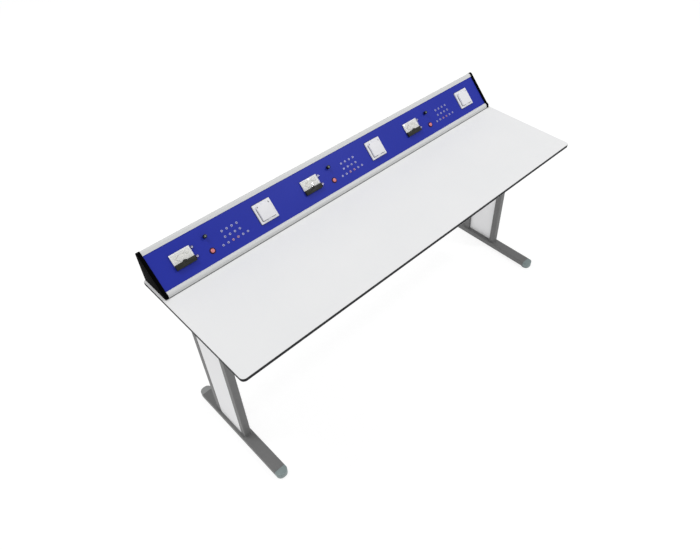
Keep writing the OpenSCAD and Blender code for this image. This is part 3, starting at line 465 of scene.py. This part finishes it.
# Phenolic moulding: near black, slightly olive where it has dulled, with flow marks of 6 mm
moulding = mottled("black phenolic moulding", "#1B1C18", "#292A24", 160, 4, 0.42, gloss=0.2,
                   relief=(0.08, 0.0003))
for station in "123":
    wear(softened("meter_%s_case" % station, 0.0005), moulding)
    dress(moulding, "zero_screw_" + station)
wear(softened("meter_covers", 0.0008), moulding)

# Acrylic: polished and clear, so it has no pattern, and only its sheen covers the dial
acrylic, tree, place = start_finish("clear acrylic")
shader = close_finish(tree, linear("#FBFCFC"), 0.06)
shader.inputs["Alpha"].default_value = 0.22
shader.inputs["IOR"].default_value = 1.49
wear(softened("meter_windows", 0.0008), acrylic)

# Coated card: white and very slightly fibrous, with fibres of 0.3 mm drawn at 1.1 mm
card = mottled("white dial card", "#F7F7F7", "#FFFFFF", 900, 2, 0.5)
dress(card, "meter_dials")

# Lacquer on aluminium: matt black over brush marks of 1.4 mm
lacquer = mottled("black lacquered aluminium", "#101010", "#1C1C1C", 700, 2, 0.45)
for station in "123":
    dress(lacquer, "meter_%s_pointer" % station)

# Dial scales
# Printed on the card: a cream field that leaves a white margin, a painted highlight for the
# window's bright edges, a fine arc with eleven marks, a dull red band on the left, an olive band
# on the right and plain figures.
slope = math.radians(45.5)
middle_field_x = 0.025
station_pitch = 0.585836
panel_foot = (0.158, 0.76525)
field_up = 0.0885316
panel_drop = 0.004


def on_panel(station, across, up=0.0, out=0.0):
    """A place on the panel's face, measured from the middle of a station's socket field."""
    x = middle_field_x + (station - 2) * station_pitch + across
    return (Matrix.Translation((x, *panel_foot))
            @ Matrix.Rotation(slope, 4, "X")
            @ Matrix.Translation((0, field_up + up, out - panel_drop)))


def copied(piece, name, place):
    """A copy of a piece with its own mesh, moved by place."""
    twin = piece.copy()
    twin.data = piece.data.copy()
    twin.name = name
    scene.collection.objects.link(twin)
    twin.data.transform(place)
    return twin


def on_each_station(piece, across, up=0.0, out=0.0):
    """Puts a piece on station 1 and its copies on 2 and 3, each object at the origin."""
    bpy.ops.object.select_all(action="DESELECT")
    piece.select_set(True)
    bpy.context.view_layer.objects.active = piece
    bpy.ops.object.transform_apply(location=True, rotation=True, scale=True)
    piece.select_set(False)
    name = piece.name
    parts = []
    for station in (2, 3):
        place = on_panel(station, across, up, out)
        parts.append((station, copied(piece, "%s_%d" % (name, station), place)))
    piece.name = name + "_1"
    piece.data.transform(on_panel(1, across, up, out))
    return parts + [(1, piece)]


def printed(name, inner, outer, first, last, steps, copies):
    """A sector of ring between two angles from the left, or that many separate marks."""
    bpy.ops.mesh.primitive_plane_add(size=1)
    mark = bpy.context.object
    mark.name = name
    bpy.ops.object.mode_set(mode="EDIT")
    bpy.ops.transform.resize(value=(0.00035, outer - inner, 1))
    bpy.ops.transform.translate(value=(0, (outer + inner) / 2, 0))
    if not copies:
        bpy.ops.mesh.select_all(action="DESELECT")
        cut = bmesh.from_edit_mesh(mark.data)
        for vertex in cut.verts:
            vertex.select = vertex.co.x < 0
        bmesh.update_edit_mesh(mark.data)
        bpy.ops.mesh.delete(type="VERT")
        bpy.ops.mesh.select_all(action="SELECT")
    bpy.ops.transform.rotate(
        value=math.radians(first), orient_axis="Z", center_override=(0, 0, 0))
    bpy.ops.mesh.spin(
        steps=steps, dupli=copies, angle=math.radians(last - first), center=(0, 0, 0),
        axis=(0, 0, 1))
    bpy.ops.mesh.select_all(action="SELECT")
    bpy.ops.mesh.remove_doubles(threshold=0.000002)
    bpy.ops.mesh.normals_make_consistent(inside=False)
    bpy.ops.object.mode_set(mode="OBJECT")
    return mark


# Printing inks: matt, and uneven in spots of 0.7 mm, or of 1.4 mm in the wide field
ink = mottled("black printing ink", "#242426", "#38383A", 1500, 2, 0.6)
red_ink = mottled("dull red printing ink", "#C27D75", "#D3968E", 1500, 2, 0.6)
olive_ink = mottled("olive printing ink", "#B0B372", "#C6C98C", 1500, 2, 0.6)
cream_field_with_highlight_margin = mottled("cream printed field", "#DEDDD4", "#E9E8E1", 700, 2, 0.55)

# Heights on the dial are from the needle's pivot, 12 mm above the meter's lower edge
pivot = 0.012
meter_x = -0.205
half_meter = 0.03
dial_face = 0.0038
field_film = 0.00003
ink_film = 0.00005
# The field is the dial's cream tone; the white card left round it is a painted highlight.
bpy.ops.mesh.primitive_plane_add(size=1)
field = bpy.context.object
field.name = "scale_field"
field.scale = (0.0722, 0.0355, 1)
field.location = (0, 0.03825 - pivot, -field_film)
bpy.ops.object.transform_apply(location=True, scale=True)
bpy.ops.mesh.primitive_cylinder_add(vertices=64, radius=0.0124, depth=0.01)
boss = bpy.context.object
modify(field, "BOOLEAN", object=boss, solver="EXACT")
bpy.data.objects.remove(boss)
prints = [(field, cream_field_with_highlight_margin, field_film)]
for name, inner, outer, first, last, steps, copies, colour in (
        ("scale_arc", 0.0359, 0.0363, -45, 45, 48, False, ink),
        ("scale_marks", 0.0363, 0.0387, -45, 45, 10, True, ink),
        ("scale_red", 0.0329, 0.0353, -45, -12, 16, False, red_ink),
        ("scale_olive", 0.0329, 0.0353, 10, 45, 16, False, olive_ink)):
    mark = printed(name, inner, outer, first, last, steps, copies)
    prints.append((mark, colour, ink_film))
figure_radius = 0.0393
for figure, degrees in (("0", -45), ("2", -27), ("4", -9), ("6", 9), ("8", 27), ("10", 45)):
    turn = math.radians(degrees)
    bpy.ops.object.text_add()
    number = bpy.context.object
    number.name = "scale_figure_" + figure
    number.data.body = figure
    number.data.size = 0.0040
    number.data.align_x = "CENTER"
    bpy.ops.object.convert(target="MESH")
    number.location = (figure_radius * math.sin(turn), figure_radius * math.cos(turn), 0)
    number.rotation_euler = (0, 0, -turn)
    prints.append((number, ink, ink_film))
for mark, colour, thickness in prints:
    modify(mark, "SOLIDIFY", thickness=thickness, offset=1)
    parts = on_each_station(mark, meter_x, pivot - half_meter, dial_face + field_film)
    for station, part in parts:
        wear(part, colour)
        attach(part, "table")

# Terminals
# Two for each meter: a nickel plated sleeve for a 4 mm plug, in a collar of black phenolic or
# brick red polyamide that insulates it from the panel.

# Nickel: bright and faintly blue, with stains of 3 mm. The height along the slope's normal, 0.4197
# at the panel, tells the bright rims from the bores, whose dark colour is painted shade
nickel, tree, place = start_finish("bright nickel plating")
stain = add_node(tree, "TexNoise", {"Vector": place, "Scale": 300, "Detail": 3})
rim = add_node(tree, "MixRGB", {0: stain, 1: linear("#B4B4D8"), 2: linear("#C8C8E8")})
rise = add_node(tree, "VectorMath", {0: place, 1: (0, -0.71325, 0.70091)},
                operation="DOT_PRODUCT").outputs["Value"]
painted_bore_shade = add_node(tree, "MapRange", {"Value": rise, "From Min": 0.4207, "From Max": 0.4216})
tone = add_node(tree, "MixRGB", {0: painted_bore_shade, 1: linear("#3A3A42"), 2: rim})
close_finish(tree, tone, 0.24, metallic=1.0)
dress(nickel, "terminal_sleeves", "socket_sleeves")
wear(softened("terminal_collars_black", 0.0005), moulding)

# Polyamide: satin, with flow marks of 2 mm
red_collar = mottled("brick red polyamide", "#43110A", "#561A12", 500, 3, 0.45, gloss=0.2)
wear(softened("terminal_collars_red", 0.0005), red_collar)

# Knobs and potentiometers
# Fluted knobs of black phenolic, moulded and polished, pushed on the shafts of potentiometers in
# plated cases behind the panel. Their flow marks are 3 mm long.
phenolic = mottled("polished black phenolic", "#08090B", "#101115", 300, 3, 0.3, gloss=0.2,
                   relief=(0.06, 0.0002))
for station in "123":
    wear(softened("knob_" + station, 0.0003, 2), phenolic)
dress(zinc, "potentiometers")

# Knob top highlights
# A grey-green disc on top of each knob, dished by 0.2 mm, is a painted highlight for the light on
# the knob's top. It is satin, mottled in marks of 1.7 mm.
knob_x = -0.0985
knob_up = 0.028
highlight_out = 0.0148
knob_top_highlight = mottled("grey-green painted knob top highlight", "#5F6C67", "#6E7B76", 600, 2, 0.35, gloss=0.3)
bpy.ops.mesh.primitive_cylinder_add(vertices=40, radius=0.0038, depth=0.0008)
disc = bpy.context.object
disc.name = "knob_inlay"
bpy.ops.object.mode_set(mode="EDIT")
pick_top(disc)
bpy.ops.mesh.inset(thickness=0.0006)
bpy.ops.transform.translate(value=(0, 0, -0.0002))
bpy.ops.object.mode_set(mode="OBJECT")
modify(disc, "BEVEL", width=0.00015, segments=2)
bpy.ops.object.shade_smooth_by_angle(angle=math.radians(35))
for station, part in on_each_station(disc, knob_x, knob_up, highlight_out):
    wear(part, knob_top_highlight)
    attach(part, "knob_%d" % station)

# Push buttons
# Moulded red caps in dark red bezels, each on its switch behind the panel, where a spring pushes
# the cap back up.

# Red ABS: glossy, with flow marks of 8 mm
red_gloss = mottled("red glossy ABS", "#D36E70", "#E08488", 120, 2, 0.2)
for station in "123":
    wear(softened("button_" + station, 0.0006), red_gloss)

# Bezel: satin, with flow marks of 2.5 mm
bezel = mottled("dark red bezel", "#26060F", "#380B18", 400, 2, 0.4, gloss=0.15)
wear(softened("button_switches", 0.0004), bezel)

# Sockets
# Fourteen for each station, for 4 mm plugs: insulating rings of pale or pink polyamide round
# plated sleeves. The rings are satin, with flow marks of 2 mm.
pale_ring = mottled("pale lilac polyamide", "#8689C2", "#9497D0", 500, 2, 0.45, gloss=0.2)
dress(pale_ring, "socket_collars")
pink_ring = mottled("pink polyamide", "#9A6488", "#AD7A9C", 500, 2, 0.45, gloss=0.2)
dress(pink_ring, "socket_collars_red")

# Mains outlets
# A square frame, an insert and a hinged lid with a finger lip, all moulded in white polycarbonate
# and set in an opening of the panel. They are satin, with flow marks of 2.4 mm.
polycarbonate = mottled("white moulded polycarbonate", "#E4E4E8", "#ECECEF", 420, 2, 0.45,
                        gloss=0.3, relief=(0.05, 0.0003))
for station in "123":
    wear(softened("outlet_%s_frame" % station, 0.0005), polycarbonate)
    wear(softened("outlet_%s_lid" % station, 0.0005), polycarbonate)
dress(polycarbonate, "outlet_inserts")

# Outlet shade
# A thin dark rim round each frame is painted shadow, a grey strip on the frame along the lid's
# left and lower edges is painted shade for the lid's side, and a dark ring round each hinge lug is
# painted shadow.
outlet_x = 0.1543
frame_face = 0.0067
strip_depth = 0.0009

# Painted lid shade: a dull grey, with cells of 1.1 mm
lid_side_shade = mottled("grey painted lid shade", "#626360", "#767773", 900, 2, 0.8, gloss=0.1,
                 relief=(0.3, 0.0002))
painted_shade_pieces = []
for name, left, right, low, high in (
        ("lid_shade_side", -0.0322, -0.0307, -0.0300, 0.0230),
        ("lid_shade_corner", -0.0322, -0.0085, -0.0317, -0.0302),
        ("lid_shade_foot", 0.0085, 0.0300, -0.0317, -0.0302)):
    bpy.ops.mesh.primitive_cube_add(size=1)
    strip = bpy.context.object
    strip.name = name
    strip.scale = (right - left, high - low, strip_depth)
    strip.location = ((left + right) / 2, (low + high) / 2, frame_face + strip_depth / 2)
    bpy.ops.object.transform_apply(location=True, scale=True)
    modify(strip, "BEVEL", width=0.0003, segments=2)
    painted_shade_pieces.append((strip, lid_side_shade))
# Dark rings round the hinge lugs are painted shadow of the hinge notches.
for name, across in (("hinge_shadow_left", -0.0255), ("hinge_shadow_right", 0.0255)):
    bpy.ops.mesh.primitive_cylinder_add(
        vertices=40, radius=0.00268, depth=0.0026, end_fill_type="NOTHING",
        location=(across, 0.0258, 0.0112), rotation=(0, quarter, 0))
    hinge_shadow = bpy.context.object
    hinge_shadow.name = name
    bpy.ops.object.transform_apply(location=True, rotation=True)
    modify(hinge_shadow, "SOLIDIFY", thickness=0.0003, offset=-1)
    bpy.ops.object.shade_smooth_by_angle(angle=math.radians(35))
    painted_shade_pieces.append((hinge_shadow, rubber_and_painted_shade))
# A thin dark rim round the frame is painted shadow round the outlet.
bpy.ops.mesh.primitive_plane_add(size=0.0832, location=(0, 0, 0.00002))
shadow_rim = bpy.context.object
shadow_rim.name = "outlet_shadow_rim"
bpy.ops.object.transform_apply(location=True)
bpy.ops.object.mode_set(mode="EDIT")
bpy.ops.mesh.select_all(action="SELECT")
bpy.ops.mesh.bevel(offset=0.0045, segments=5, affect="VERTICES")
bpy.ops.mesh.select_all(action="SELECT")
bpy.ops.mesh.inset(thickness=0.0017)
bpy.ops.mesh.delete(type="FACE")
bpy.ops.object.mode_set(mode="OBJECT")
modify(shadow_rim, "SOLIDIFY", thickness=0.0008, offset=1)
modify(shadow_rim, "BEVEL", width=0.0002, segments=2)
painted_shade_pieces.append((shadow_rim, rubber_and_painted_shade))
# Each of these pieces is painted shade, set on every outlet.
for piece, finish in painted_shade_pieces:
    for station, part in on_each_station(piece, outlet_x):
        wear(part, finish)
        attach(part, "table")

# Outlet contacts
# Sprung brass: two earth clips bent over the edge of the recess, and a split sleeve in each
# contact hole. The sheet is bright, with roll marks of 2 mm.
brass = mottled("rolled brass", "#BD9A50", "#D5B469", 500, 3, 0.3, metallic=1.0)
clip_width = 0.005
clip_y = (0.0180, 0.0189)
clip_z = (-0.0040, -0.0088)
hole_x = 0.0095
hole_out = -0.0155
bpy.ops.mesh.primitive_plane_add(size=1)
clip = bpy.context.object
bpy.ops.object.mode_set(mode="EDIT")
bpy.ops.mesh.select_all(action="DESELECT")
cut = bmesh.from_edit_mesh(clip.data)
for vertex in cut.verts:
    deep = vertex.co.y > 0
    vertex.co = Vector((vertex.co.x * clip_width, clip_y[deep], clip_z[deep]))
for edge in cut.edges:
    edge.select = all(vertex.co.y < sum(clip_y) / 2 for vertex in edge.verts)
bmesh.update_edit_mesh(clip.data)
for back, rise in ((-0.0014, 0.0035), (0.0002, 0.0022), (0.0011, 0.0016), (0.0009, 0.0008)):
    bpy.ops.mesh.extrude_region_move(TRANSFORM_OT_translate={"value": (0, back, rise)})
bpy.ops.mesh.select_all(action="SELECT")
bpy.ops.mesh.normals_make_consistent(inside=False)
bpy.ops.object.mode_set(mode="OBJECT")
modify(clip, "SUBSURF", levels=2, render_levels=2)
modify(clip, "SOLIDIFY", thickness=0.0006)
modify(clip, "BEVEL", width=0.0001, segments=1)
bpy.ops.object.shade_smooth_by_angle(angle=math.radians(40))
for station in (3, 2, 1):
    for side, turn in (("upper", 0), ("lower", math.pi)):
        place = on_panel(station, outlet_x) @ Matrix.Rotation(turn, 4, "Z")
        spring = copied(clip, "outlet_clip_%d_%s" % (station, side), place)
        wear(spring, brass)
        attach(spring, "table")
bpy.data.objects.remove(clip)

bpy.ops.mesh.primitive_cylinder_add(
    vertices=24, radius=0.0025, depth=0.0105, end_fill_type="NOTHING")
sleeve = bpy.context.object
bpy.ops.object.mode_set(mode="EDIT")
bpy.ops.mesh.select_all(action="DESELECT")
split = bmesh.from_edit_mesh(sleeve.data)
split.faces.ensure_lookup_table()
for face in (split.faces[0], split.faces[12]):
    face.select = True
bmesh.update_edit_mesh(sleeve.data)
bpy.ops.mesh.delete(type="FACE")
bpy.ops.object.mode_set(mode="OBJECT")
modify(sleeve, "SOLIDIFY", thickness=0.0004)
bpy.ops.object.shade_smooth_by_angle(angle=math.radians(40))
for station in (3, 2, 1):
    for side, across in (("left", outlet_x - hole_x), ("right", outlet_x + hole_x)):
        contact = copied(sleeve, "outlet_sleeve_%d_%s" % (station, side),
                         on_panel(station, across, out=hole_out))
        wear(contact, brass)
        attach(contact, "table")
bpy.data.objects.remove(sleeve)

bpy.ops.object.select_all(action="DESELECT")
